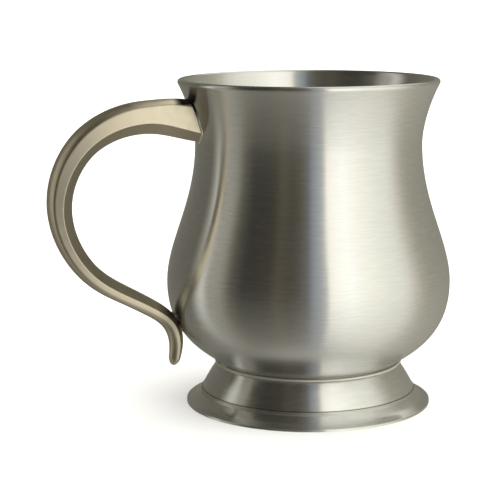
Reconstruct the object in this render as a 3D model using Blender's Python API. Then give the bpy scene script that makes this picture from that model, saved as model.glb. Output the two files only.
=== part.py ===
# Pewter tulip tankard: a spun bowl soldered onto a hollow spread foot, with one
# cast S-shaped handle. The frame is metres, +Z up, the foot's rim on Z = 0 and
# the handle towards -X. The X origin is the middle of the whole width, handle
# included. Sizes below are millimetres.
import math

import bmesh
import bpy
import numpy as np

MM = 0.001

# Bowl, outside
BELLY_RADIUS = 50.1
NECK_RADIUS = 39.75
RIM_RADIUS = 45.7
SEAM_RADIUS = 32.05          # where the bowl meets the foot
FOOT_HEIGHT = 15.1           # table to the seam
BELLY_RISE = 28.45           # seam to the widest part
SHOULDER_RISE = 49.05        # widest part to the narrowest
RIM_RISE = 22.4              # narrowest part to the top of the lip
SEAM_SLOPE = 45.7            # degrees from level, of the bowl at the seam
RIM_FLARE = 27.7             # degrees from upright, of the bowl under the lip

# Bowl outline: how far each span keeps its end direction, as shares of its rise
SEAM_PULL = 0.186
BELLY_PULL_DOWN = 0.70
BELLY_PULL_UP = 0.2925
NECK_PULL_DOWN = 0.429
NECK_PULL_UP = 0.27
RIM_PULL = 0.36

# Bowl, metal
BOWL_WALL = 1.3
BOWL_FLOOR = 1.6
FLOOR_DROP = 2.0             # seam down to the underside of the floor
FLOOR_CORNER = 0.5           # height of the slope between floor and wall
LIP_ROUND = 1.1              # radius of the fully rounded lip
LIP_SWELL = 9.0              # height over which the wall thickens to the lip

# Foot
FOOT_WALL = 1.2
FOOT_RADIUS = 43.4
BEAD_RADIUS = 38.1           # widest point of the bead under the cone
BEAD_HEIGHT = 4.5
BEAD_ROUND = 0.5
CONE_BULGE = 0.25            # how far the cone swells past a straight line
FLANGE_SAG = 0.7             # how far the flange dips under a straight line
EDGE_THICKNESS = 0.8
BASE_WIDTH = 1.2             # flat ring that the foot stands on

# Solder
SOLDER_BEAD = 0.35           # radius of the ring in the foot's seam
SOLDER_LAYER = 0.6
SOLDER_SPREAD = 0.6          # how far the top fillet stands past the handle
TOP_SOLDER_SHARE = 0.12      # of the handle, which the neck then trims
LOW_SOLDER_ABOVE = 4.6       # pad above and below the low joint
LOW_SOLDER_BELOW = 3.2
LOW_SOLDER_WIDTH = 6.0
LOW_SOLDER_ROOT = 2.0         # starts this far inside the belly before it is cut
CLEARANCE = 0.3              # between pieces that are soldered together

# Handle: its two joints, then the path between them
HANDLE_TOP_ABOVE_NECK = 9.2  # handle's centre at the neck joint
HANDLE_LOW_BELOW_BELLY = 13.0
HANDLE_LOW_STANDOFF = 3.0    # belly to the handle's centre at the low joint
HANDLE_ROOT_DEPTH = 1.6      # the path starts this far inside the wall
# Each point is (how far out from the line between the joints, how far up that
# line, where 0 is the low joint and 1 is the top one).
HANDLE_ARCH = (
    (12.0, 1.03), (25.3, 1.01), (36.7, 0.92), (44.0, 0.76), (45.2, 0.57),
    (40.3, 0.387), (30.7, 0.234), (18.0, 0.132), (10.1, 0.076),
)
# The tail below the low joint, as (out from the belly there, down from it).
HANDLE_TAIL = ((0.9, 7.3), (2.0, 14.9))
# The section, at shares of the handle's length: crown of the rounded back,
# depth of the flank, depth of the inner bevel, then the half widths at the
# back's edges, at the widest line and at the narrow inner face.
HANDLE_SECTION = (
    (0.00, 1.90, 9.4, 3.5, 4.7, 6.1, 2.0),
    (0.12, 1.85, 5.5, 4.0, 4.9, 6.1, 2.0),
    (0.30, 2.35, 4.2, 3.3, 5.1, 6.0, 2.0),
    (0.50, 1.70, 2.9, 3.5, 5.2, 5.8, 1.9),
    (0.75, 1.10, 2.5, 2.7, 4.5, 4.8, 1.6),
    (0.90, 1.55, 2.2, 1.9, 3.7, 4.0, 1.3),
    (0.97, 1.35, 1.7, 1.1, 2.7, 2.9, 1.0),
    (1.00, 0.80, 0.5, 0.6, 1.1, 1.5, 0.5),
)

# Mesh steps
TURN_STEPS = 64
SPAN_STEPS = 8
ROUND_STEPS = 4
BACK_STEPS = 4
HANDLE_STEPS = 44

seam_z = FOOT_HEIGHT
belly_z = seam_z + BELLY_RISE
neck_z = belly_z + SHOULDER_RISE
top_z = neck_z + RIM_RISE


def bezier(start, pull_start, pull_end, end, steps=SPAN_STEPS):
    """Points on a cubic Bezier span, both ends included."""
    t = np.linspace(0.0, 1.0, steps + 1)[:, None]
    a, b, c, d = (np.array(p, dtype=float) for p in (start, pull_start, pull_end, end))
    return (1 - t) ** 3 * a + 3 * (1 - t) ** 2 * t * b + 3 * (1 - t) * t**2 * c + t**3 * d


def arc(centre, radius, from_deg, to_deg, steps=ROUND_STEPS):
    """Points on an arc, angles from +R towards +Z."""
    angle = np.radians(np.linspace(from_deg, to_deg, steps + 1))
    return np.array(centre) + radius * np.stack([np.cos(angle), np.sin(angle)], axis=1)


def normals_out(points):
    """Unit normals on the right-hand side of a path that climbs."""
    step = np.gradient(points, axis=0)
    step /= np.linalg.norm(step, axis=1)[:, None]
    return np.stack([step[:, 1], -step[:, 0]], axis=1)


def bowl_outside():
    """The bowl's outer profile from the seam up to where the lip begins."""
    slope = math.radians(SEAM_SLOPE)
    flare = math.radians(RIM_FLARE)
    lip_centre = np.array([RIM_RADIUS - LIP_ROUND, top_z - LIP_ROUND])
    lip_foot = lip_centre + LIP_ROUND * np.array([math.cos(flare), -math.sin(flare)])
    rim_rise = lip_foot[1] - neck_z
    seam_pull = SEAM_PULL * BELLY_RISE
    rim_pull = RIM_PULL * rim_rise
    lower = bezier(
        (SEAM_RADIUS, seam_z),
        (SEAM_RADIUS + seam_pull * math.cos(slope), seam_z + seam_pull * math.sin(slope)),
        (BELLY_RADIUS, belly_z - BELLY_PULL_DOWN * BELLY_RISE),
        (BELLY_RADIUS, belly_z),
    )
    shoulder = bezier(
        (BELLY_RADIUS, belly_z),
        (BELLY_RADIUS, belly_z + BELLY_PULL_UP * SHOULDER_RISE),
        (NECK_RADIUS, neck_z - NECK_PULL_DOWN * SHOULDER_RISE),
        (NECK_RADIUS, neck_z),
    )
    rim = bezier(
        (NECK_RADIUS, neck_z),
        (NECK_RADIUS, neck_z + NECK_PULL_UP * rim_rise),
        tuple(lip_foot - rim_pull * np.array([math.sin(flare), math.cos(flare)])),
        tuple(lip_foot),
        steps=6,
    )
    return np.vstack([lower, shoulder[1:], rim[1:]])


def outside_radius(height):
    """The bowl's outer radius at a height."""
    profile = bowl_outside()
    return float(np.interp(height, profile[:, 1], profile[:, 0]))


def turn(name, section, centre_x):
    """A closed section of (radius, height) points, turned once round the axis.
    The section runs clockwise in the R-Z plane seen with R to the right, up the
    inside and down the outside, and may start and end on the axis."""
    angles = np.arange(TURN_STEPS) * 2 * math.pi / TURN_STEPS
    mesh = bmesh.new()
    rings = []
    for radius, height in section:
        if radius < 1e-6:
            rings.append([mesh.verts.new((centre_x * MM, 0, height * MM))])
            continue
        rings.append([
            mesh.verts.new((
                (centre_x + radius * math.cos(a)) * MM,
                radius * math.sin(a) * MM,
                height * MM,
            ))
            for a in angles
        ])
    pairs = list(zip(rings, rings[1:]))
    if len(rings[0]) > 1:
        pairs.append((rings[-1], rings[0]))
    for first, second in pairs:
        for i in range(TURN_STEPS):
            j = (i + 1) % TURN_STEPS
            corners = [first[i % len(first)], first[j % len(first)],
                       second[j % len(second)], second[i % len(second)]]
            mesh.faces.new(list(dict.fromkeys(corners)))
    return add_object(name, mesh)


def add_object(name, mesh):
    """A new smooth-shaded object from a bmesh, with its faces turned outwards."""
    bmesh.ops.recalc_face_normals(mesh, faces=mesh.faces)
    data = bpy.data.meshes.new(name)
    mesh.to_mesh(data)
    mesh.free()
    made = bpy.data.objects.new(name, data)
    bpy.context.collection.objects.link(made)
    data.shade_smooth()
    data.set_sharp_from_angle(angle=math.radians(35))
    return made


def metal(name, colour, roughness):
    """A plain metal finish."""
    made = bpy.data.materials.new(name)
    made.use_nodes = True
    shader = made.node_tree.nodes["Principled BSDF"]
    shader.inputs["Base Color"].default_value = (*colour, 1)
    shader.inputs["Metallic"].default_value = 1.0
    shader.inputs["Roughness"].default_value = roughness
    return made


def make_bowl(centre_x):
    outside = bowl_outside()
    swell = np.clip((outside[:, 1] - (top_z - LIP_SWELL)) / (LIP_SWELL - LIP_ROUND), 0, 1)
    wall = BOWL_WALL + (2 * LIP_ROUND - BOWL_WALL) * swell**2
    inside = outside - normals_out(outside) * wall[:, None]
    floor_z = seam_z - FLOOR_DROP + BOWL_FLOOR
    above_floor = inside[:, 1] > floor_z + FLOOR_CORNER
    below_lip = inside[:, 1] < top_z - 1.5 * LIP_ROUND
    inside = inside[above_floor & below_lip]
    lip_centre = (RIM_RADIUS - LIP_ROUND, top_z - LIP_ROUND)
    lip = arc(lip_centre, LIP_ROUND, 180 - RIM_FLARE, -RIM_FLARE, steps=6)
    underside_radius = SEAM_RADIUS - FLOOR_DROP / math.tan(math.radians(SEAM_SLOPE))
    floor_radius = inside[0, 0] - (inside[0, 1] - floor_z)
    section = np.vstack([
        [(0, floor_z), (floor_radius, floor_z)],
        inside,
        lip,
        outside[::-1][1:],
        [(underside_radius, seam_z - FLOOR_DROP), (0, seam_z - FLOOR_DROP)],
    ])
    return turn("bowl", section, centre_x)


def foot_outside():
    """The foot's outer profile from the base edge up to the seam."""
    gap = CLEARANCE / math.cos(math.radians(SEAM_SLOPE))
    edge = np.array([FOOT_RADIUS, EDGE_THICKNESS])
    bead_centre = np.array([BEAD_RADIUS - BEAD_ROUND, BEAD_HEIGHT])
    under_bead = bead_centre + np.array([0.6, -0.8]) * BEAD_ROUND
    flange_middle = (edge + under_bead) / 2 - np.array([0.5, 1.0]) * FLANGE_SAG
    bead = arc(bead_centre, BEAD_ROUND, -40, 30)
    seam = np.array([SEAM_RADIUS, seam_z - gap])
    cone_middle = (bead[-1] + seam) / 2 + np.array([0.86, 0.51]) * CONE_BULGE
    return np.vstack([
        bezier(edge, flange_middle, flange_middle, under_bead, steps=5),
        bead,
        bezier(bead[-1], cone_middle, cone_middle, seam, steps=5)[1:],
    ])


def make_foot(centre_x):
    outside = foot_outside()
    slope = math.radians(SEAM_SLOPE)
    seam = outside[-1]
    inner_top = seam - FOOT_WALL * np.array([1.0, math.tan(slope)])
    cone_foot = np.array([BEAD_RADIUS - BEAD_ROUND - FOOT_WALL, BEAD_HEIGHT - BEAD_ROUND])
    base_inner = np.array([FOOT_RADIUS - BASE_WIDTH, 0.0])
    section = np.vstack([
        [base_inner, cone_foot - np.array([0.0, FOOT_WALL]), cone_foot, inner_top],
        outside[::-1],
        [(FOOT_RADIUS, 0.0)],
    ])
    return turn("foot", section, centre_x)


def make_foot_solder(centre_x):
    """A thin round ring that fills the groove between bowl and foot."""
    slope = math.radians(SEAM_SLOPE)
    reach = SOLDER_BEAD + CLEARANCE
    cone = math.atan2(seam_z - BEAD_HEIGHT, BEAD_RADIUS - SEAM_RADIUS)
    half = (slope + cone) / 2
    middle = slope - half
    away = reach / math.sin(half)
    centre = (SEAM_RADIUS + away * math.cos(middle), seam_z - CLEARANCE / 2 + away * math.sin(middle))
    ring = arc(centre, SOLDER_BEAD, 360, 0, steps=8)[:-1]
    return turn("foot_solder", ring, centre_x)


def natural_spline(knots, values, at):
    """A natural cubic spline through the values, read at the given places."""
    knots, values = np.asarray(knots, dtype=float), np.asarray(values, dtype=float)
    gap = np.diff(knots)
    rise = np.diff(values, axis=0) / gap[:, None]
    count = len(knots)
    system = np.eye(count)
    wanted = np.zeros_like(values)
    for i in range(1, count - 1):
        system[i, i - 1:i + 2] = gap[i - 1], 2 * (gap[i - 1] + gap[i]), gap[i]
        wanted[i] = 6 * (rise[i] - rise[i - 1])
    bend = np.linalg.solve(system, wanted)
    i = np.clip(np.searchsorted(knots, at) - 1, 0, count - 2)
    left, right, width = (knots[i + 1] - at)[:, None], (at - knots[i])[:, None], gap[i][:, None]
    return (
        (bend[i] * left**3 + bend[i + 1] * right**3) / (6 * width)
        + (values[i] / width - bend[i] * width / 6) * left
        + (values[i + 1] / width - bend[i + 1] * width / 6) * right
    )


def handle_path():
    """Path points as (distance from the tankard's axis, height), top joint first."""
    top = np.array([outside_radius(neck_z + HANDLE_TOP_ABOVE_NECK), neck_z + HANDLE_TOP_ABOVE_NECK])
    low_z = belly_z - HANDLE_LOW_BELOW_BELLY
    low = np.array([outside_radius(low_z), low_z])
    points = [top - np.array([HANDLE_ROOT_DEPTH, 0.0])]
    for out, up in HANDLE_ARCH:
        points.append(low + (top - low) * up + np.array([out, 0.0]))
    points.append(low + np.array([HANDLE_LOW_STANDOFF, 0.0]))
    for out, down in HANDLE_TAIL:
        points.append(low + np.array([out, -down]))
    return np.array(points)


def handle_frames(steps):
    """Places along the handle: centres, outward normals and section sizes."""
    path = handle_path()
    share = np.concatenate([[0], np.cumsum(np.linalg.norm(np.diff(path, axis=0), axis=1))])
    share /= share[-1]
    at = np.linspace(0, 1, steps + 1)
    centres = natural_spline(share, path, at)
    along = np.gradient(centres, axis=0)
    along /= np.linalg.norm(along, axis=1)[:, None]
    outward = np.stack([-along[:, 1], along[:, 0]], axis=1)
    table = np.array(HANDLE_SECTION)
    sizes = np.stack([np.interp(at, table[:, 0], table[:, k]) for k in range(1, 7)], axis=1)
    return centres, outward, sizes


def section_points(sizes, grow):
    """One section as (sideways, outwards) points, once round."""
    crown, flank, bevel, back, widest, inner = sizes
    across = np.linspace(1, -1, BACK_STEPS + 1)
    rounded = [(back * u, flank / 2 + crown * (1 - u * u)) for u in across]
    rest = [(-widest, -flank / 2), (-inner, -flank / 2 - bevel), (inner, -flank / 2 - bevel), (widest, -flank / 2)]
    points = np.array(rounded + rest)
    middle = np.array([0.0, (crown - bevel) / 2])
    from_middle = points - middle
    half = np.abs(from_middle).max(axis=0)
    return middle + from_middle * (1 + grow / half)


def loft_handle(name, centre_x, grow=0.0, last_share=1.0):
    """The handle's solid, grown all round by an amount, up to a share of its length."""
    centres, outward, sizes = handle_frames(HANDLE_STEPS)
    kept = int(round(HANDLE_STEPS * last_share)) + 1
    mesh = bmesh.new()
    rings = []
    for centre, normal, size in zip(centres[:kept], outward[:kept], sizes[:kept]):
        ring = []
        for side, out in section_points(size, grow):
            reach, height = centre + normal * out
            ring.append(mesh.verts.new(((centre_x - reach) * MM, side * MM, height * MM)))
        rings.append(ring)
    for first, second in zip(rings, rings[1:]):
        for i in range(len(first)):
            j = (i + 1) % len(first)
            mesh.faces.new((first[i], first[j], second[j], second[i]))
    mesh.faces.new(rings[0])
    mesh.faces.new(rings[-1])
    return add_object(name, mesh)


def handle_reach():
    """How far the handle's back stands from the tankard's axis."""
    centres, outward, sizes = handle_frames(HANDLE_STEPS)
    back = centres + outward * (sizes[:, 1] / 2 + sizes[:, 0])[:, None]
    return float(back[:, 0].max())


def body_cutter(name, centre_x, gap):
    """The filled bowl, larger by a gap, to cut or trim what is soldered to it."""
    outside = bowl_outside()
    grown = outside + normals_out(outside) * gap
    section = np.vstack([[(0, top_z)], [(grown[-1, 0], top_z)], grown[::-1], [(0, grown[0, 1])]])
    return as_cutter(turn(name, section, centre_x))


def as_cutter(piece):
    """Keeps a helper solid out of the model."""
    piece.hide_render = True
    piece.display_type = "WIRE"
    return piece


def cut(piece, cutter, operation="DIFFERENCE"):
    """A live Boolean on a piece."""
    modifier = piece.modifiers.new(operation.lower(), "BOOLEAN")
    modifier.object = cutter
    modifier.operation = operation
    modifier.solver = "EXACT"


def make_handle(centre_x):
    """The cast handle, with both joints cut back to leave room for the solder."""
    handle = loft_handle("handle", centre_x)
    room = SOLDER_LAYER + 2 * CLEARANCE
    cut(handle, body_cutter("bowl_and_solder_room", centre_x, room))
    return handle


def make_top_solder(centre_x):
    """The layer of solder between the neck and the handle's upper end."""
    solder = loft_handle("handle_solder_top", centre_x, grow=SOLDER_SPREAD, last_share=TOP_SOLDER_SHARE)
    cut(solder, body_cutter("neck_room", centre_x, CLEARANCE))
    cut(solder, body_cutter("neck_layer", centre_x, CLEARANCE + SOLDER_LAYER), "INTERSECT")
    return solder


def make_low_solder(centre_x):
    """The pad of solder between the belly and the inside of the handle."""
    centres = handle_frames(HANDLE_STEPS)[0][HANDLE_STEPS // 2:][::-1]
    low_z = handle_path()[-1 - len(HANDLE_TAIL)][1]
    heights = (low_z + LOW_SOLDER_ABOVE, low_z - LOW_SOLDER_BELOW)
    corners = [(float(np.interp(h, centres[:, 1], centres[:, 0])), h) for h in heights]
    corners += [(outside_radius(h) - LOW_SOLDER_ROOT, h) for h in reversed(heights)]
    mesh = bmesh.new()
    sides = []
    for side in (-LOW_SOLDER_WIDTH / 2, LOW_SOLDER_WIDTH / 2):
        sides.append([mesh.verts.new(((centre_x - r) * MM, side * MM, z * MM)) for r, z in corners])
    for i in range(4):
        j = (i + 1) % 4
        mesh.faces.new((sides[0][i], sides[0][j], sides[1][j], sides[1][i]))
    for side in sides:
        mesh.faces.new(side)
    solder = add_object("handle_solder_low", mesh)
    cut(solder, body_cutter("belly_room", centre_x, CLEARANCE))
    room = as_cutter(loft_handle("handle_room", centre_x, grow=CLEARANCE))
    cut(room, body_cutter("belly_layer", centre_x, CLEARANCE + SOLDER_LAYER))
    cut(solder, room)
    return solder


def build():
    for item in list(bpy.data.objects):
        bpy.data.objects.remove(item, do_unlink=True)
    pewter = metal("satin pewter", (0.50, 0.49, 0.46), 0.32)
    cast_pewter = metal("cast pewter", (0.60, 0.56, 0.46), 0.36)
    solder = metal("tin solder", (0.75, 0.74, 0.70), 0.25)
    centre_x = (handle_reach() - BELLY_RADIUS) / 2
    finishes = (
        (make_bowl, pewter), (make_foot, pewter), (make_foot_solder, solder),
        (make_handle, cast_pewter), (make_top_solder, solder), (make_low_solder, solder),
    )
    for make, finish in finishes:
        make(centre_x).data.materials.append(finish)


build()
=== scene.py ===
# Pewter tulip tankard: a spun bowl and a spun foot, a cast handle, and the solder in their three joints.
import math

import bmesh
import bpy
import numpy as np
from mathutils import Matrix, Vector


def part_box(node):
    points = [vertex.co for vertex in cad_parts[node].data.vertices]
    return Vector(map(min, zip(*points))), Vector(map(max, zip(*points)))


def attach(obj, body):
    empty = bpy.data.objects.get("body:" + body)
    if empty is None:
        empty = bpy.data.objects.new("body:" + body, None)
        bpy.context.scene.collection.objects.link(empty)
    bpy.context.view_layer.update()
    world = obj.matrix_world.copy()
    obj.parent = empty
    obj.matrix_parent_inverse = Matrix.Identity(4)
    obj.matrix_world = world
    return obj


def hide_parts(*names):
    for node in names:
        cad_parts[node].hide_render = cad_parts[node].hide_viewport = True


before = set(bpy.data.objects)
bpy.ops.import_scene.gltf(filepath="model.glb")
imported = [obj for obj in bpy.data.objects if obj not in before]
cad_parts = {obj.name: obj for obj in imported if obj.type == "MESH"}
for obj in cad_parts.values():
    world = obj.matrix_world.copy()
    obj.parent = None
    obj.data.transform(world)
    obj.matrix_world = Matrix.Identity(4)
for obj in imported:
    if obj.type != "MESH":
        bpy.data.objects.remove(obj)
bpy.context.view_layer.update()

mm = 0.001
weldReach = 2e-6        # metres; points closer than this become one
shortEdge = 1e-7        # metres; edges shorter than this are dropped
bowlLow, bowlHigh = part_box("bowl")
axisX = (bowlLow.x + bowlHigh.x) / 2 / mm  # the bowl turns about this line, in millimetres along X


def hexColour(code):
    # sRGB hex to linear RGBA
    parts = np.array([int(code[i:i + 2], 16) for i in (1, 3, 5)]) / 255
    linear = np.where(parts <= 0.04045, parts / 12.92, ((parts + 0.055) / 1.055) ** 2.4)
    return (*(float(v) for v in linear), 1.0)


def addNode(tree, kind, inputs=None, **settings):
    # one node with its settings; an input is a number or another node's output
    node = tree.nodes.new(kind)
    for key, value in settings.items():
        setattr(node, key, value)
    for key, value in (inputs or {}).items():
        if isinstance(value, bpy.types.NodeSocket):
            tree.links.new(value, node.inputs[key])
        else:
            node.inputs[key].default_value = value
    return node


def gridPiece(name, points, closeRows=False, closeColumns=True, capped=False, sharp=40):
    # A surface from a rows x columns grid of points in millimetres: each point is joined to the next in
    # its row and its column, then points that lie together, at poles and seams, are merged
    rows, columns = points.shape[:2]
    index = np.arange(rows * columns).reshape(rows, columns)
    if closeRows:
        index = np.vstack([index, index[:1]])
    if closeColumns:
        index = np.hstack([index, index[:, :1]])
    quads = np.stack([index[:-1, :-1], index[:-1, 1:], index[1:, 1:], index[1:, :-1]], axis=-1)
    quads = quads.reshape(-1, 4)
    data = bpy.data.meshes.new(name)
    data.vertices.add(rows * columns)
    data.vertices.foreach_set("co", (points * mm).reshape(-1).astype(np.float32))
    data.loops.add(quads.size)
    data.loops.foreach_set("vertex_index", quads.reshape(-1).astype(np.int32))
    data.polygons.add(len(quads))
    data.polygons.foreach_set("loop_start", np.arange(0, quads.size, 4, dtype=np.int32))
    data.update(calc_edges=True)
    work = bmesh.new()
    work.from_mesh(data)
    if capped:
        work.verts.ensure_lookup_table()
        for ring in (index[0], index[-1]):
            work.faces.new([work.verts[i] for i in ring[:columns]])
    bmesh.ops.remove_doubles(work, verts=work.verts, dist=weldReach)
    bmesh.ops.dissolve_degenerate(work, edges=work.edges, dist=shortEdge)
    bmesh.ops.recalc_face_normals(work, faces=work.faces)
    work.to_mesh(data)
    work.free()
    data.shade_smooth()
    data.set_sharp_from_angle(angle=math.radians(sharp))
    piece = bpy.data.objects.new(name, data)
    bpy.context.scene.collection.objects.link(piece)
    return piece


def bezier(start, pullStart, pullEnd, end, steps):
    # cubic Bezier span between two points with a pull point for each, both ends included
    t = np.linspace(0, 1, steps + 1)[:, None]
    a, b, c, d = (np.array(p, dtype=float) for p in (start, pullStart, pullEnd, end))
    return (1 - t) ** 3 * a + 3 * (1 - t) ** 2 * t * b + 3 * (1 - t) * t**2 * c + t**3 * d


def arc(centre, radius, fromDegrees, toDegrees, steps):
    # points on an arc, angles from outwards towards up
    angle = np.radians(np.linspace(fromDegrees, toDegrees, steps + 1))
    return np.array(centre) + radius * np.stack([np.cos(angle), np.sin(angle)], axis=1)


def rightOf(points):
    # unit normals on the right of a path, which is outwards on a profile that climbs
    step = np.gradient(points, axis=0)
    step /= np.linalg.norm(step, axis=1)[:, None]
    return np.stack([step[:, 1], -step[:, 0]], axis=1)


def turned(name, section, steps=192, closed=False, sharp=40):
    # Surface of revolution: each (radius, height) point goes once round the axis
    angle = np.linspace(0, 2 * math.pi, steps, endpoint=False)
    points = np.stack([
        axisX + section[:, :1] * np.cos(angle),
        section[:, :1] * np.sin(angle),
        np.repeat(section[:, 1:], steps, axis=1),
    ], axis=-1)
    return gridPiece(name, points, closeRows=closed, sharp=sharp)


cameraSet = {
    "distance": 553.4,      # mm from the bowl's axis
    "height": 151.8,        # mm above the table
    "turn": 17.5,           # degrees towards the handle's side
    "aim": -15.366,         # heading, degrees
    "tilt": 79.99,          # degrees up from straight down
    "roll": -0.208,
    "lens": 113.98,         # mm
    "sensor": 36,           # mm wide
    "farthest": 50,         # metres
}

studioSet = {
    "heading": 107.5,       # degrees that turn the panels to face the camera
    "strength": 1.5,
    # degrees to the right of the camera, colour of the walls and panels there
    "panels": [
        (-180, "#6a685e"), (-112, "#57554d"), (-106, "#7d7b70"), (-101, "#adaca4"), (-95, "#c6c5bd"),
        (-88, "#8a8880"), (-80, "#8a887e"), (-74, "#7e7b70"), (-65, "#504e45"), (-55, "#32312c"),
        (-45, "#33312b"), (-33, "#38352d"), (-25, "#4d483e"), (-15, "#433f36"), (-8, "#4c483e"),
        (0, "#5f605e"), (4, "#7f8487"), (9, "#919596"), (13, "#a3a5a4"), (15.5, "#b8b8b0"),
        (17.5, "#f5f1e2"), (24, "#fbf8ec"), (34, "#fffff6"), (50, "#f2f0e2"), (60, "#e9e9dc"),
        (70, "#e0e0d4"), (80, "#dadace"), (88, "#d0cec3"), (96, "#b8b4a8"), (104, "#a09c8e"),
        (114, "#8f8d80"), (180, "#6a685e"),
    ],
    # the same, near the table
    "lower": [
        (-180, "#6e6c62"), (-140, "#74726a"), (-100, "#7a786e"), (-20, "#7c7a70"), (0, "#878680"),
        (15, "#92918c"), (30, "#9f9e97"), (45, "#aeada4"), (65, "#bbb9ae"), (95, "#b5b2a6"),
        (130, "#aba89c"), (170, "#a6a398"), (180, "#6e6c62"),
    ],
    # the same, higher up, where the window behind the right shoulder shows
    "upper": [
        (-180, "#c4c2b8"), (-174, "#3a3832"), (-160, "#34322d"), (-142, "#5c5a52"), (-110, "#504e46"),
        (-85, "#3c3a34"), (-60, "#33312c"), (-30, "#393731"), (-12, "#504e47"), (0, "#66645c"),
        (15, "#82807a"), (26, "#96948b"), (36, "#a4a298"), (50, "#b0aea3"), (70, "#b8b6aa"),
        (90, "#c0beb2"), (110, "#d2d0c4"), (130, "#e2e0d4"), (155, "#ebe9dd"), (172, "#eceade"),
        (180, "#c4c2b8"),
    ],
    "top": "#84827a",           # straight up
    "bottom": "#a19f98",        # straight down
    # degrees above level, share of the lower, upper, top and bottom colours there
    "lowBlend": [(-75, 1.0), (-62, 0.82), (-45, 0.55), (-25, 0.35), (-10, 0.15), (3, 0.0)],
    "highBlend": [(47, 0.0), (64, 1.0)],
    "topBlend": [(70, 0.0), (84, 1.0)],
    "bottomBlend": [(-82, 1.0), (-62, 0.0)],
    # degrees to the right of the camera, degrees that the upper part reaches lower there
    "drop": [(-180, 22), (-160, 24), (-140, 12), (-120, 8), (-97, 6), (-84, 16), (-72, 30), (-60, 24),
             (-20, 14), (5, 0), (95, 0), (125, 13), (150, 23), (180, 23)],
    "dropMost": 40,             # degrees that a full ramp stands for
    "sunStrength": 3.3,
    "sunAngle": 175,            # degrees across, for a soft shadow
    "floorColour": "#fbfbfa",
    "floorRings": (0.0, 400.0, 12000.0),    # mm from the middle
    "floorSides": 64,
    "backdrop": "#ffffff",
}


def makeStudio():
    # The room as colours by direction: a ring of panels at eye level, blended into a lower and an upper
    # ring and into plain colours straight up and down; in a Mix node 6 and 7 are its two colours
    s = studioSet
    world = bpy.data.worlds.new("studio")
    bpy.context.scene.world = world
    world.use_nodes = True
    tree = world.node_tree
    tree.nodes.clear()
    direction = addNode(tree, "ShaderNodeTexCoord").outputs["Generated"]
    parts = addNode(tree, "ShaderNodeSeparateXYZ", {0: direction})
    angle = addNode(tree, "ShaderNodeMath", {0: parts.outputs[1], 1: parts.outputs[0]},
                    operation="ARCTAN2")
    turn = addNode(tree, "ShaderNodeMath", {
        0: angle.outputs[0], 1: 1 / (2 * math.pi), 2: (s["heading"] + 180) / 360},
        operation="MULTIPLY_ADD")
    around = addNode(tree, "ShaderNodeMath", {0: turn.outputs[0]}, operation="FRACT")
    height = addNode(tree, "ShaderNodeMath", {0: parts.outputs[2]}, operation="ARCSINE")
    climb = addNode(tree, "ShaderNodeMath", {0: height.outputs[0], 1: 1 / math.pi, 2: 0.5},
                    operation="MULTIPLY_ADD")
    drop = addNode(tree, "ShaderNodeValToRGB", {0: around.outputs[0]})
    fillRamp(drop.color_ramp, [
        ((a + 180) / 360, (d / s["dropMost"],) * 3 + (1,)) for a, d in s["drop"]])
    raised = addNode(tree, "ShaderNodeMath", {
        0: drop.outputs[0], 1: s["dropMost"] / 180, 2: climb.outputs[0]}, operation="MULTIPLY_ADD")
    colour = None
    rings = (("panels", None, None), ("lower", "lowBlend", climb), ("upper", "highBlend", raised))
    for key, blend, reach in rings:
        ring = addNode(tree, "ShaderNodeValToRGB", {0: around.outputs[0]})
        fillRamp(ring.color_ramp, [((a + 180) / 360, hexColour(c)) for a, c in s[key]])
        if blend is None:
            colour = ring.outputs[0]
        else:
            share = addNode(tree, "ShaderNodeValToRGB", {0: reach.outputs[0]})
            fillRamp(share.color_ramp, [((e + 90) / 180, (v, v, v, 1)) for e, v in s[blend]])
            colour = addNode(tree, "ShaderNodeMix", {
                0: share.outputs[0], 6: colour, 7: ring.outputs[0]}, data_type="RGBA").outputs[2]
    for key in ("top", "bottom"):
        share = addNode(tree, "ShaderNodeValToRGB", {0: climb.outputs[0]})
        fillRamp(share.color_ramp, [((e + 90) / 180, (v, v, v, 1)) for e, v in s[key + "Blend"]])
        colour = addNode(tree, "ShaderNodeMix", {
            0: share.outputs[0], 6: colour, 7: hexColour(s[key])}, data_type="RGBA").outputs[2]
    room = addNode(tree, "ShaderNodeBackground", {0: colour, 1: s["strength"]})
    plain = addNode(tree, "ShaderNodeBackground", {0: hexColour(s["backdrop"]), 1: 1.0})
    ray = addNode(tree, "ShaderNodeLightPath")
    both = addNode(tree, "ShaderNodeMixShader", {
        0: ray.outputs["Is Camera Ray"], 1: room.outputs[0], 2: plain.outputs[0]})
    addNode(tree, "ShaderNodeOutputWorld", {0: both.outputs[0]})


def fillRamp(ramp, stops):
    # stops are (place from 0 to 1, colour), in order
    while len(ramp.elements) > 1:
        ramp.elements.remove(ramp.elements[-1])
    ramp.elements[0].position, ramp.elements[0].color = stops[0]
    for place, colour in stops[1:]:
        ramp.elements.new(place).color = colour


def makeSun():
    data = bpy.data.lights.new("softKey", "SUN")
    data.energy = studioSet["sunStrength"]
    data.angle = math.radians(studioSet["sunAngle"])
    sun = bpy.data.objects.new("softKey", data)
    sun.visible_glossy = False  # it lights the floor; the panels are what the metal shows
    bpy.context.scene.collection.objects.link(sun)


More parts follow.
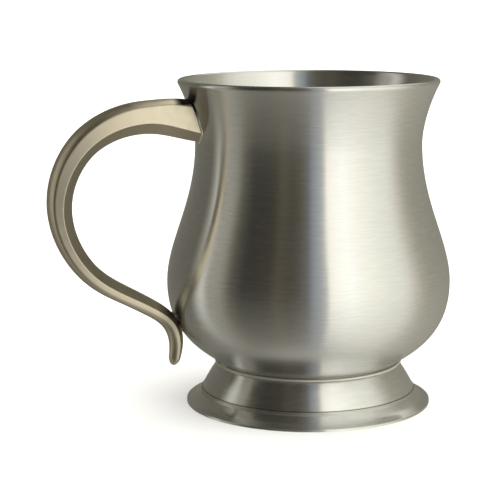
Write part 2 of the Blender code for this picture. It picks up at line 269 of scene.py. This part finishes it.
def makeFloor():
    # a flat disc of rings round the origin
    angle = np.linspace(0, 2 * math.pi, studioSet["floorSides"], endpoint=False)
    reach = np.array(studioSet["floorRings"])[:, None]
    points = np.stack([reach * np.cos(angle), reach * np.sin(angle), 0 * reach * angle], axis=-1)
    floor = gridPiece("studioFloor", points)
    paper = bpy.data.materials.new("mattPaper")  # seamless paper sweep: no gloss
    paper.use_nodes = True
    shader = paper.node_tree.nodes["Principled BSDF"]
    shader.inputs["Base Color"].default_value = hexColour(studioSet["floorColour"])
    shader.inputs["Roughness"].default_value = 1.0
    shader.inputs["Specular IOR Level"].default_value = 0.0
    floor.data.materials.append(paper)
    floor.visible_glossy = False


def makeCamera():
    data = bpy.data.cameras.new("camera")
    data.lens = cameraSet["lens"]
    data.sensor_width = cameraSet["sensor"]
    data.clip_end = cameraSet["farthest"]
    camera = bpy.data.objects.new("camera", data)
    turn = math.radians(cameraSet["turn"])
    place = Matrix.Translation((
        (axisX - cameraSet["distance"] * math.sin(turn)) * mm,
        -cameraSet["distance"] * math.cos(turn) * mm,
        cameraSet["height"] * mm,
    ))
    camera.matrix_world = (
        place
        @ Matrix.Rotation(math.radians(cameraSet["aim"]), 4, "Z")
        @ Matrix.Rotation(math.radians(cameraSet["tilt"]), 4, "X")
        @ Matrix.Rotation(math.radians(cameraSet["roll"]), 4, "Z")
    )
    bpy.context.scene.collection.objects.link(camera)
    bpy.context.scene.camera = camera


bpy.context.scene.view_settings.view_transform = "Standard"
makeStudio()
makeSun()
makeFloor()
makeCamera()
print("studio ready")

bowlSet = {
    # all in mm where no other unit is named
    "bellyRadius": 50.1, "neckRadius": 39.75, "rimRadius": 45.7, "seamRadius": 32.05,
    "footHeight": 15.1, "bellyRise": 28.45, "shoulderRise": 49.05, "rimRise": 22.4,
    "seamSlope": 45.7,      # degrees from level, where the bowl meets the foot
    "rimFlare": 27.7,       # degrees from upright, under the lip
    # pulls are shares of the rise of their own span
    "seamPull": 0.186, "bellyPullDown": 0.70, "bellyPullUp": 0.2925,
    "neckPullDown": 0.429, "neckPullUp": 0.27, "rimPull": 0.36,
    "wall": 1.3, "floor": 1.6,
    "floorDrop": 2.0,       # that the bottom's underside hangs below the seam
    "floorCorner": 0.5,     # left between the floor and the first ring of the inside
    "lipRound": 1.1,
    "lipSwell": 9.0,        # depth below the top over which the wall thickens to the lip
    "lipClear": 1.5,        # lip radii below the top where the inside stops
    "lowerSteps": 36, "shoulderSteps": 44, "rimSteps": 26, "lipSteps": 18, "floorSteps": 16,
}
seamZ = bowlSet["footHeight"]
bellyZ = seamZ + bowlSet["bellyRise"]
neckZ = bellyZ + bowlSet["shoulderRise"]
topZ = neckZ + bowlSet["rimRise"]


def bowlOutside():
    # Three Bezier spans: seam to belly, belly to neck, neck to the lip
    b = bowlSet
    slope, flare = math.radians(b["seamSlope"]), math.radians(b["rimFlare"])
    lipFoot = np.array([
        b["rimRadius"] - b["lipRound"] + b["lipRound"] * math.cos(flare),
        topZ - b["lipRound"] - b["lipRound"] * math.sin(flare),
    ])
    rimRise = lipFoot[1] - neckZ
    seamPull, rimPull = b["seamPull"] * b["bellyRise"], b["rimPull"] * rimRise
    lower = bezier(
        (b["seamRadius"], seamZ),
        (b["seamRadius"] + seamPull * math.cos(slope), seamZ + seamPull * math.sin(slope)),
        (b["bellyRadius"], bellyZ - b["bellyPullDown"] * b["bellyRise"]),
        (b["bellyRadius"], bellyZ), b["lowerSteps"])
    shoulder = bezier(
        (b["bellyRadius"], bellyZ),
        (b["bellyRadius"], bellyZ + b["bellyPullUp"] * b["shoulderRise"]),
        (b["neckRadius"], neckZ - b["neckPullDown"] * b["shoulderRise"]),
        (b["neckRadius"], neckZ), b["shoulderSteps"])
    rim = bezier(
        (b["neckRadius"], neckZ),
        (b["neckRadius"], neckZ + b["neckPullUp"] * rimRise),
        lipFoot - rimPull * np.array([math.sin(flare), math.cos(flare)]),
        lipFoot, b["rimSteps"])
    return np.vstack([lower, shoulder[1:], rim[1:]])


outline = bowlOutside()


def outsideRadius(height):
    # the bowl's outside, for what is soldered to it
    return np.interp(height, outline[:, 1], outline[:, 0])


def makeBowl():
    # Closed section: floor, inside wall, lip, outside wall, underside of the floor; the inside is the
    # outside moved in by the wall, which grows with the square of the height towards the lip
    b = bowlSet
    swell = (outline[:, 1] - (topZ - b["lipSwell"])) / (b["lipSwell"] - b["lipRound"])
    swell = np.clip(swell, 0, 1)
    wall = b["wall"] + (2 * b["lipRound"] - b["wall"]) * swell**2
    inside = outline - rightOf(outline) * wall[:, None]
    floorZ = seamZ - b["floorDrop"] + b["floor"]
    inside = inside[(inside[:, 1] > floorZ + b["floorCorner"])
                    & (inside[:, 1] < topZ - b["lipClear"] * b["lipRound"])]
    lip = arc((b["rimRadius"] - b["lipRound"], topZ - b["lipRound"]), b["lipRound"],
              180 - b["rimFlare"], -b["rimFlare"], b["lipSteps"])
    floorRadius = inside[0, 0] - (inside[0, 1] - floorZ)
    underRadius = b["seamRadius"] - b["floorDrop"] / math.tan(math.radians(b["seamSlope"]))
    across = np.linspace(0, 1, b["floorSteps"] + 1)[:, None]
    floorTop = np.hstack([across * floorRadius, floorZ + 0 * across])
    floorUnder = np.hstack([across[::-1] * underRadius, seamZ - b["floorDrop"] + 0 * across])
    return turned("spunBowl", np.vstack([floorTop, inside, lip, outline[::-1][1:], floorUnder]))


footSet = {
    # all in mm where no other unit is named
    "wall": 1.2, "radius": 43.4, "beadRadius": 38.1, "beadHeight": 4.5, "beadRound": 0.55,
    "beadProud": 0.25,      # that the bead stands out of the cone's foot
    "beadFrom": -50, "beadTo": 100,         # degrees, the part of the bead's circle that shows
    "flangeMeets": (0.6, -0.8),             # direction from the bead's middle to the flange
    "flangeSag": 0.7,
    "flangeSagWay": (0.5, 1.0),             # in and down, in sags
    "coneStart": (-0.24, 0.62),             # out and up from the bead
    "coneBulge": 0.25,
    "coneBulgeWay": (0.86, 0.51),           # out and up, in bulges
    "edgeThickness": 0.8,
    "baseWidth": 1.2,       # the ring that stands on the table
    "gap": 0.3,             # left for the solder
    "solderRound": 0.42,
    "flangeSteps": 16, "beadSteps": 18, "coneSteps": 20, "solderSteps": 12,
}


def makeFoot():
    # Closed section: base edge, dished flange, bead, nearly straight cone, then back down the inside
    f = footSet
    slope = math.radians(bowlSet["seamSlope"])
    edge = np.array([f["radius"], f["edgeThickness"]])
    beadCentre = np.array([f["beadRadius"] - f["beadRound"] + f["beadProud"], f["beadHeight"]])
    underBead = beadCentre + np.array(f["flangeMeets"]) * f["beadRound"]
    flangeMiddle = (edge + underBead) / 2 - np.array(f["flangeSagWay"]) * f["flangeSag"]
    bead = arc(beadCentre, f["beadRound"], f["beadFrom"], f["beadTo"], f["beadSteps"])
    seam = np.array([bowlSet["seamRadius"], seamZ - f["gap"] / math.cos(slope)])
    coneStart = np.array([f["beadRadius"], f["beadHeight"]]) + np.array(f["coneStart"])
    coneMiddle = (coneStart + seam) / 2 + np.array(f["coneBulgeWay"]) * f["coneBulge"]
    outside = np.vstack([
        bezier(edge, flangeMiddle, flangeMiddle, underBead, f["flangeSteps"]),
        bead,
        bezier(coneStart, coneMiddle, coneMiddle, seam, f["coneSteps"]),
    ])
    innerTop = seam - f["wall"] * np.array([1.0, math.tan(slope)])
    coneFoot = np.array([
        f["beadRadius"] - f["beadRound"] - f["wall"],
        f["beadHeight"] - f["beadRound"],
    ])
    underFlange = coneFoot - np.array([0.0, f["wall"]])
    section = np.vstack([
        [(f["radius"] - f["baseWidth"], 0.0), underFlange, coneFoot, innerTop],
        outside[::-1],
        [(f["radius"], 0.0)],
    ])
    return turned("spunFoot", section, closed=True, sharp=32)


def makeFootSolder():
    # A thin ring in the groove between bowl and foot, on the line that halves the groove's angle and
    # far enough out to keep the gap to both
    f = footSet
    slope = math.radians(bowlSet["seamSlope"])
    bead, gap = f["solderRound"], f["gap"]
    cone = math.atan2(seamZ - f["beadHeight"], f["beadRadius"] - bowlSet["seamRadius"])
    half = (slope + cone) / 2
    away = (bead + gap) / math.sin(half)
    centre = (bowlSet["seamRadius"] + away * math.cos(slope - half),
              seamZ - gap / 2 + away * math.sin(slope - half))
    section = arc(centre, bead, 360, 0, f["solderSteps"])[:-1]
    return turned("seamSolder", section, closed=True, sharp=180)


handleSet = {
    # all in mm where no other unit is named
    "topAboveNeck": 9.2, "lowBelowBelly": 13.0,
    "lowStandoff": 3.0,     # from the belly to the handle's middle at the low joint
    "rootDepth": 1.6,       # that the path starts inside the neck
    # out from the line between the joints, and how far up that line
    "arch": [(12.0, 1.03), (25.3, 1.01), (36.7, 0.92), (44.0, 0.76), (45.2, 0.57),
             (40.3, 0.387), (30.7, 0.234), (18.0, 0.132), (10.1, 0.076)],
    "tail": [(0.9, 7.3), (2.0, 14.9)],    # out and down from the low joint
    # share of the length, crown, flank, bevel, half back, half widest, half inner face
    "section": [
        (0.00, 1.90, 9.4, 3.5, 4.7, 6.1, 2.0), (0.12, 1.85, 5.5, 4.0, 4.9, 6.1, 2.0),
        (0.30, 2.35, 4.2, 3.3, 5.1, 6.0, 2.0), (0.50, 1.66, 2.9, 3.5, 5.2, 5.8, 1.9),
        (0.75, 1.10, 2.5, 2.7, 4.5, 4.8, 1.6), (0.90, 1.55, 2.2, 1.9, 3.7, 4.0, 1.3),
        (0.97, 1.35, 1.7, 1.1, 2.7, 2.9, 1.0), (1.00, 1.10, 1.5, 0.9, 2.45, 2.7, 0.9),
    ],
    "steps": 260, "tipSteps": 14, "pathSteps": 2000,
    "sizeBlur": 60,         # path steps to each side over which the sizes are smoothed
    "tipLength": 0.022,     # share of the length that rounds off
    "tipThin": 1e-5,        # square of the share of the section that is left at the very tip
    "edgeRound": 0.45,      # kept off each corner of the back, on the upper arm
    "edgeGrow": 1.2,        # share that this grows by on the lower arm
    "edgeGrowFrom": 0.45, "edgeGrowOver": 0.2,      # shares of the length
    "innerRound": 0.14,     # kept off the crisp corners towards the hand
    "cornerSteps": 6, "crownSteps": 16,
    "faceSteps": (0.12, 0.5, 0.88),         # places across each flat face
    "embed": 0.5,           # that the upper end sinks into the neck
    "fitLength": 9.0,       # over which the end follows the neck
}


def naturalSpline(knots, values, at):
    # natural cubic spline through the values: cubic between knots, bending evenly through them and not
    # at all at the ends
    gap = np.diff(knots)
    rise = np.diff(values, axis=0) / gap[:, None]
    count = len(knots)
    inner = np.arange(1, count - 1)
    system = np.eye(count)
    system[inner, inner - 1], system[inner, inner], system[inner, inner + 1] = (
        gap[:-1], 2 * (gap[:-1] + gap[1:]), gap[1:])
    wanted = np.zeros_like(values)
    wanted[1:-1] = 6 * (rise[1:] - rise[:-1])
    bend = np.linalg.solve(system, wanted)
    i = np.clip(np.searchsorted(knots, at) - 1, 0, count - 2)
    left, right, width = (knots[i + 1] - at)[:, None], (at - knots[i])[:, None], gap[i][:, None]
    return ((bend[i] * left**3 + bend[i + 1] * right**3) / (6 * width)
            + (values[i] / width - bend[i] * width / 6) * left
            + (values[i + 1] / width - bend[i + 1] * width / 6) * right)


def handlePath():
    # knots out from the axis and up: inside the neck, over the arch, the low joint, the tail
    h = handleSet
    topPoint = np.array([outsideRadius(neckZ + h["topAboveNeck"]), neckZ + h["topAboveNeck"]])
    lowPoint = np.array([outsideRadius(bellyZ - h["lowBelowBelly"]), bellyZ - h["lowBelowBelly"]])
    arch = np.array(h["arch"])
    tail = np.array(h["tail"])
    return np.vstack([
        [topPoint - np.array([h["rootDepth"], 0])],
        lowPoint + (topPoint - lowPoint) * arch[:, 1:] + arch[:, :1] * np.array([1, 0]),
        [lowPoint + np.array([h["lowStandoff"], 0])],
        lowPoint + tail * np.array([1, -1]),
    ])


def handleFrames(at):
    # centres, outward normals and smoothed section sizes at shares of the length
    h = handleSet
    path = handlePath()
    share = np.concatenate([[0], np.cumsum(np.linalg.norm(np.diff(path, axis=0), axis=1))])
    share /= share[-1]
    fine = np.linspace(0, 1, h["pathSteps"] + 1)
    centres = naturalSpline(share, path, fine)
    along = np.gradient(centres, axis=0)
    along /= np.linalg.norm(along, axis=1)[:, None]
    outward = np.stack([-along[:, 1], along[:, 0]], axis=1)
    table = np.array(h["section"])
    kernel = np.hanning(2 * h["sizeBlur"] + 1)
    kernel /= kernel.sum()
    sizes = []
    for column in table.T[1:]:
        padded = np.pad(np.interp(fine, table[:, 0], column), h["sizeBlur"],
                        mode="reflect", reflect_type="odd")
        sizes.append(np.convolve(padded, kernel, mode="valid"))
    found = centres, outward, np.stack(sizes, axis=1)
    return [np.stack([np.interp(at, fine, column) for column in values.T], axis=1) for values in found]


def pairs(x, y):
    # (sideways, outwards) points from two arrays that fill each other's size
    return np.stack([x + 0 * y, y + 0 * x], axis=-1)


def roundedSection(at, sizes):
    # One section for each station, (sideways, outwards), once round: crowned back, then flank, bevel,
    # inner face, bevel and flank, with each corner replaced by a small quadratic curve
    h = handleSet
    crown, flank, bevel, back, widest, inner = (sizes[:, k:k + 1] for k in range(6))
    corners = [
        pairs(back, flank / 2), pairs(-back, flank / 2), pairs(-widest, -flank / 2),
        pairs(-inner, -flank / 2 - bevel), pairs(inner, -flank / 2 - bevel), pairs(widest, -flank / 2),
    ]
    grown = np.clip((at - h["edgeGrowFrom"]) / h["edgeGrowOver"], 0, 1)
    tight = h["innerRound"] * np.ones_like(at)[:, None, None]
    soft = h["edgeRound"] * (1 + h["edgeGrow"] * grown)[:, None, None]
    keep = [soft, soft, tight, tight, tight, tight]
    columns = []
    count = len(corners)
    for k in range(count):
        here, after, before = corners[k], corners[(k + 1) % count], corners[k - 1]
        arrive = here + unit(before - here) * keep[k]
        leave = here + unit(after - here) * keep[k]
        if k == 0:
            leave = crownPoint(back, flank, crown, 1, soft)
        elif k == 1:
            arrive = crownPoint(back, flank, crown, -1, soft)
        t = np.linspace(0, 1, h["cornerSteps"])[None, :, None]
        columns.append((1 - t) ** 2 * arrive + 2 * (1 - t) * t * here + t**2 * leave)
        if k == 0:
            start, stop = crownShare(back, soft), -crownShare(back, soft)
            u = start[:, 0] + (stop - start)[:, 0] * np.linspace(0, 1, h["crownSteps"])[None, 1:-1]
            columns.append(pairs(back * u, flank / 2 + crown * (1 - u**2)))
        else:
            nextArrive = after + unit(here - after) * keep[(k + 1) % count]
            t = np.array(h["faceSteps"])[None, :, None]
            columns.append(leave * (1 - t) + nextArrive * t)
    return np.concatenate(columns, axis=1)


def unit(v):
    return v / np.linalg.norm(v, axis=-1, keepdims=True)


def crownShare(back, keep):
    # share of the back's half width where the crown meets its corner
    return 1 - keep[:, :1] / back[:, None]


def crownPoint(back, flank, crown, side, keep):
    # the crown is a parabola across the back
    u = side * crownShare(back, keep)[:, 0]
    return np.stack([back * u, flank / 2 + crown * (1 - u**2)], axis=-1)


def placeSection(centres, outward, section):
    # (sideways, outwards) points to space: the handle lies in the plane through the axis, towards -X
    reach = centres[:, :1] + outward[:, :1] * section[..., 1]
    height = centres[:, 1:] + outward[:, 1:] * section[..., 1]
    return reach, section[..., 0], height


def makeHandle():
    # The section carried along the path; over the last bit it shrinks like a quarter circle to a tip
    h = handleSet
    at = np.linspace(0, 1, h["steps"] + 1)
    tip = h["tipLength"]
    tipTurn = np.linspace(0, math.pi / 2, h["tipSteps"])
    at = np.concatenate([at[at < 1 - tip], 1 - tip * np.cos(tipTurn)])
    centres, outward, sizes = handleFrames(at)
    section = roundedSection(at, sizes)
    middle = np.array([0.0, 1.0]) * ((sizes[:, 0] - sizes[:, 2]) / 2)[:, None, None]
    shrink = 1 - (np.clip(at - 1 + tip, 0, None) / tip) ** 2
    shrink = np.sqrt(np.clip(shrink, h["tipThin"], 1))[:, None, None]
    section = middle + (section - middle) * shrink
    reach, side, height = placeSection(centres, outward, section)
    # the upper end is sheared onto the neck's surface, fading out along the handle
    wanted = np.sqrt((outsideRadius(height[0]) - h["embed"]) ** 2 - side[0] ** 2)
    travel = np.linalg.norm(centres - centres[0], axis=1)
    fade = np.clip(1 - travel / h["fitLength"], 0, 1)[:, None] ** 2
    upperHalf = (np.arange(len(at)) < len(at) // 2)[:, None]
    reach = reach + (wanted - reach[0])[None] * fade * upperHalf
    points = np.stack([axisX - reach, side, height], axis=-1)
    return gridPiece("castHandle", points, capped=True, sharp=55)


solderSet = {
    # all in mm where no other unit is named
    "bead": 0.42,           # radius of the line of tin round the upper joint
    "beadOut": 0.12,        # that its middle stands outside the handle's end
    "lump": 0.11,           # that it wanders
    "lumpSeed": 1.7,
    "endLength": 0.01,      # share of the handle's length that gives the shape of its end
    "beadSteps": 240, "beadSides": 10,
    "webLow": 27.6, "webHigh": 34.9,        # above the table
    "webHalf": 2.5,         # to each side of the middle
    "webBite": 0.35,        # into the metal on each side
    "webLump": 0.22,        # share of its thickness that it wanders
    "webLumpSeed": 0.6,
    "webEnd": 0.98,         # share of its thickness that it loses at the top and the bottom
    "webSpan": (0.8, 0.97), # shares of the handle's length that it reaches
    "webSpanSteps": 200, "webRings": 48, "webSides": 40,
}


def lumps(u, v, seed):
    # a few sine waves that go unevenly round and along, between -1 and 1
    return (0.5 * np.sin(3 * u + 5 * v + seed) + 0.3 * np.sin(7 * u - 11 * v + 2 * seed)
            + 0.2 * np.sin(13 * u + 17 * v + 3 * seed))


def makeTopSolder():
    # Circles swept once round the handle's upper end, where it meets the neck
    k = solderSet
    at = np.array([0, k["endLength"]])
    centres, outward, sizes = handleFrames(at)
    _, side, height = placeSection(centres, outward, roundedSection(at, sizes))
    ring = np.stack([side[0], height[0]], axis=-1)
    closed = np.vstack([ring, ring[:1]])
    travel = np.concatenate([[0], np.cumsum(np.linalg.norm(np.diff(closed, axis=0), axis=1))])
    around = np.linspace(0, travel[-1], k["beadSteps"] + 1)[:-1]
    line = np.stack([np.interp(around, travel, column) for column in closed.T], axis=1)
    along = np.roll(line, -2, axis=0) - np.roll(line, 2, axis=0)
    along /= np.linalg.norm(along, axis=1)[:, None]
    out = np.stack([along[:, 1], -along[:, 0]], axis=1)
    out *= np.sign(((line - line.mean(axis=0)) * out).sum())
    turnRound = np.linspace(0, 2 * math.pi, k["beadSides"], endpoint=False)
    sweep = 2 * math.pi * around / travel[-1]
    radius = k["bead"] + k["lump"] * lumps(sweep[:, None], turnRound[None], k["lumpSeed"])
    flat = line[:, None] + out[:, None] * (k["beadOut"] + radius * np.cos(turnRound))[..., None]
    neck = np.sqrt(outsideRadius(flat[..., 1]) ** 2 - flat[..., 0] ** 2)
    reach = neck + radius * np.sin(turnRound)
    points = np.stack([axisX - reach, flat[..., 0], flat[..., 1]], axis=-1)
    return gridPiece("upperSolder", points, closeRows=True, sharp=180)


def makeLowSolder():
    # A lumpy web: at each height an oval that spans from the belly to the handle's inner face
    k = solderSet
    centres, outward, sizes = handleFrames(np.linspace(*k["webSpan"], k["webSpanSteps"]))
    inner = centres - outward * (sizes[:, 1] / 2 + sizes[:, 2])[:, None]
    share = np.sin(np.linspace(-math.pi / 2, math.pi / 2, k["webRings"]))
    height = (k["webLow"] + k["webHigh"]) / 2 + share * (k["webHigh"] - k["webLow"]) / 2
    handleSide = np.interp(height, inner[::-1, 1], inner[::-1, 0]) + k["webBite"]
    bowlSide = outsideRadius(height) - k["webBite"]
    middle, half = (handleSide + bowlSide) / 2, (handleSide - bowlSide) / 2
    angle = np.linspace(0, 2 * math.pi, k["webSides"], endpoint=False)
    wander = lumps(angle[None], 3 * share[:, None], k["webLumpSeed"])
    grow = (1 - k["webEnd"] * share**4)[:, None] * (1 + k["webLump"] * wander)
    reach = middle[:, None] + half[:, None] * np.cos(angle) * np.sqrt(np.clip(grow, 0, 1))
    side = k["webHalf"] * np.sin(angle)[None] * grow
    points = np.stack([axisX - reach, side, np.repeat(height[:, None], len(angle), axis=1)], axis=-1)
    return gridPiece("lowerSolder", points, capped=True, sharp=180)


noiseLow, noiseHigh = 0.3, 0.7      # where most of a noise pattern's values lie


def brushedPewter(name, colour, roughness, vary, anisotropy, lineHeight, lineWidth, lineDepth, paintedLightBands=()):
    # Spun pewter, brushed on the lathe with an abrasive pad: soft grey-white, sharp round the body and
    #     # blurred up and down, with fine rings that follow the turning, and any listed bands of painted
    #     light
    made = bpy.data.materials.new(name)
    made.use_nodes = True
    tree = made.node_tree
    shader = tree.nodes["Principled BSDF"]
    shader.inputs["Metallic"].default_value = 1.0
    shader.inputs["Anisotropic"].default_value = anisotropy
    shader.inputs["Anisotropic Rotation"].default_value = 0.25
    place = addNode(tree, "ShaderNodeTexCoord").outputs["Object"]
    centred = addNode(tree, "ShaderNodeMapping", {0: place, "Location": (-axisX * mm, 0, 0)})
    parts = addNode(tree, "ShaderNodeSeparateXYZ", {0: centred.outputs[0]})
    flat = addNode(tree, "ShaderNodeCombineXYZ", {0: parts.outputs[0], 1: parts.outputs[1]})
    radius = addNode(tree, "ShaderNodeVectorMath", {0: flat.outputs[0]}, operation="LENGTH")
    # height and distance from the axis together, so that the rings go on over level parts
    climb = addNode(tree, "ShaderNodeMath", {0: parts.outputs[2], 1: radius.outputs["Value"]},
                    operation="ADD")
    tall = addNode(tree, "ShaderNodeMath", {0: climb.outputs[0], 1: 1 / (lineHeight * mm)},
                   operation="MULTIPLY")
    wide = addNode(tree, "ShaderNodeVectorMath", {0: flat.outputs[0], "Scale": 1 / (lineWidth * mm)},
                   operation="SCALE")
    spread = addNode(tree, "ShaderNodeSeparateXYZ", {0: wide.outputs[0]})
    rings = addNode(tree, "ShaderNodeCombineXYZ", {
        0: spread.outputs[0], 1: spread.outputs[1], 2: tall.outputs[0]})
    lines = addNode(tree, "ShaderNodeTexNoise", {
        "Vector": rings.outputs[0], "Scale": 1.0, "Detail": 3.0, "Roughness": 0.6})
    tint = addNode(tree, "ShaderNodeMix", {
        0: lines.outputs[0], 6: hexColour(colour[0]), 7: hexColour(colour[1])}, data_type="RGBA")
    rough = addNode(tree, "ShaderNodeMapRange", {
        0: lines.outputs[0], 1: noiseLow, 2: noiseHigh, 3: roughness - vary, 4: roughness + vary})
    tone, blur = tint.outputs[2], rough.outputs[0]
    for band in paintedLightBands:
        # a narrow band at one height with its own roughness and a painted colour; on the foot these are
        # the bead's painted highlight and the groove's painted shade
        there = addNode(tree, "ShaderNodeMath", {
            0: parts.outputs[2], 1: band["height"] * mm, 2: band["half"] * mm}, operation="COMPARE")
        tone = addNode(tree, "ShaderNodeMix", {
            0: there.outputs[0], 6: tone, 7: hexColour(band["colour"])}, data_type="RGBA").outputs[2]
        blur = addNode(tree, "ShaderNodeMix", {
            0: there.outputs[0], 2: blur, 3: band["roughness"]}).outputs[0]
    tree.links.new(tone, shader.inputs["Base Color"])
    tree.links.new(blur, shader.inputs["Roughness"])
    bump = addNode(tree, "ShaderNodeBump", {
        "Height": lines.outputs[0], "Strength": 1.0, "Distance": lineDepth * mm})
    tree.links.new(bump.outputs[0], shader.inputs["Normal"])
    tangent = addNode(tree, "ShaderNodeTangent", direction_type="RADIAL", axis="Z")
    tree.links.new(tangent.outputs[0], shader.inputs["Tangent"])
    return made


def satinPewter(name, colour, roughness, vary, grain, grainDepth, paintedShade=None):
    # Cast pewter, filed and rubbed to a satin: warm grey, even in every direction, with slight ripples;
    # tin solder is the same metal in a paler tone, lumpy where it was left as it ran
    made = bpy.data.materials.new(name)
    made.use_nodes = True
    tree = made.node_tree
    shader = tree.nodes["Principled BSDF"]
    shader.inputs["Metallic"].default_value = 1.0
    place = addNode(tree, "ShaderNodeTexCoord").outputs["Object"]
    cloud = addNode(tree, "ShaderNodeTexNoise", {
        "Vector": place, "Scale": 1 / (grain * mm), "Detail": 3.0, "Roughness": 0.55})
    tint = addNode(tree, "ShaderNodeMix", {
        0: cloud.outputs[0], 6: hexColour(colour[0]), 7: hexColour(colour[1])}, data_type="RGBA")
    tone = tint.outputs[2]
    if paintedShade:
        # painted shade, near black: above one height close to the neck, and round the crook of the low
        # joint,
        #         # where shadow and dark reflection fall
        spot = addNode(tree, "ShaderNodeSeparateXYZ", {0: place})
        above = addNode(tree, "ShaderNodeMapRange", {
            0: spot.outputs[2], 1: paintedShade["low"] * mm, 2: paintedShade["high"] * mm})
        close = addNode(tree, "ShaderNodeMapRange", {
            0: spot.outputs[0], 1: paintedShade["far"] * mm, 2: paintedShade["near"] * mm})
        paintedShadeMask = addNode(tree, "ShaderNodeMath", {0: above.outputs[0], 1: close.outputs[0]},
                        operation="MULTIPLY")
        if "crook" in paintedShade:
            away = addNode(tree, "ShaderNodeVectorMath", {
                0: place, 1: tuple(v * mm for v in paintedShade["crook"])}, operation="DISTANCE")
            crook = addNode(tree, "ShaderNodeMapRange", {
                0: away.outputs["Value"], 1: paintedShade["reach"][0] * mm, 2: paintedShade["reach"][1] * mm,
                3: 1.0, 4: 0.0})
            paintedShadeMask = addNode(tree, "ShaderNodeMath", {0: paintedShadeMask.outputs[0], 1: crook.outputs[0]},
                            operation="MAXIMUM")
        tone = addNode(tree, "ShaderNodeMix", {
            0: paintedShadeMask.outputs[0], 6: tone, 7: hexColour(paintedShade["colour"])}, data_type="RGBA").outputs[2]
    tree.links.new(tone, shader.inputs["Base Color"])
    rough = addNode(tree, "ShaderNodeMapRange", {
        0: cloud.outputs[0], 1: noiseLow, 2: noiseHigh, 3: roughness - vary, 4: roughness + vary})
    tree.links.new(rough.outputs[0], shader.inputs["Roughness"])
    bump = addNode(tree, "ShaderNodeBump", {
        "Height": cloud.outputs[0], "Strength": 1.0, "Distance": grainDepth * mm})
    tree.links.new(bump.outputs[0], shader.inputs["Normal"])
    return made


finishSet = {
    # colours are the pattern's two ends, lengths are in mm
    # the pad's own scratches are about a tenth of a millimetre apart, too fine to show, so the rings
    # are drawn half a millimetre high
    "bowl": {"colour": ("#cfcfce", "#e9e9e8"), "roughness": 0.22, "vary": 0.03, "anisotropy": 1.0,
             "lineHeight": 0.5, "lineWidth": 6.0, "lineDepth": 0.007},
    # the bead is matt, with a near-white band on it that is a painted highlight, and a darker line in
    # the groove above it that is painted shade
    "footPaintedLightBands": [{"height": 4.5, "half": 0.62, "roughness": 0.6, "colour": "#fafaf6"},
                  {"height": 5.3, "half": 0.15, "roughness": 0.4, "colour": "#8c8a82"}],
    # ripples the width of a file's stroke
    "handle": {"colour": ("#d0c6b2", "#d8ceba"), "roughness": 0.36, "vary": 0.04,
               "grain": 3.0, "grainDepth": 0.01,
               # near-black painted shade where the handle's top meets the neck and round the crook of
               # the low joint
               "paintedShade": {"low": 106.9, "high": 107.3, "far": -28.0, "near": -25.0,
                          "crook": (-23.0, 0.0, 37.5), "reach": (5.0, 12.0), "colour": "#14110d"}},
    # run solder: lumps under a millimetre across
    "seam": {"colour": ("#eeece2", "#faf8f0"), "roughness": 0.6, "vary": 0.04,
             "grain": 0.9, "grainDepth": 0.05},
    "solder": {"colour": ("#eeece2", "#faf8f0"), "roughness": 0.3, "vary": 0.04,
               "grain": 0.7, "grainDepth": 0.3,
               # near-black painted shade on the solder's upper part, close to the neck
               "paintedShade": {"low": 102.0, "high": 105.0, "far": -60.0, "near": -50.0,
                          "colour": "#14110d"}},
}


def dress(piece, material, node):
    # the fine piece takes the place of its plain node, gets its own material and rides on the body
    piece.data.materials.append(material)
    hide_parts(node)
    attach(piece, "root")


spun = brushedPewter("lathe brushed pewter", **finishSet["bowl"])
# the foot's material carries the painted highlight on the bead and the painted shade in the groove
spunFoot = brushedPewter("lathe brushed pewter, worn bead", paintedLightBands=finishSet["footPaintedLightBands"],
                         **finishSet["bowl"])
cast = satinPewter("satin cast pewter", **finishSet["handle"])
seamTin = satinPewter("matt tin solder", **finishSet["seam"])
tin = satinPewter("tin solder", **finishSet["solder"])

dress(makeBowl(), spun, "bowl")
dress(makeFoot(), spunFoot, "foot")
dress(makeFootSolder(), seamTin, "foot_solder")
print("bowl and foot turned")
dress(makeHandle(), cast, "handle")
print("handle swept")

dress(makeTopSolder(), tin, "handle_solder_top")
dress(makeLowSolder(), tin, "handle_solder_low")
print("solder laid")

bpy.context.view_layer.update()
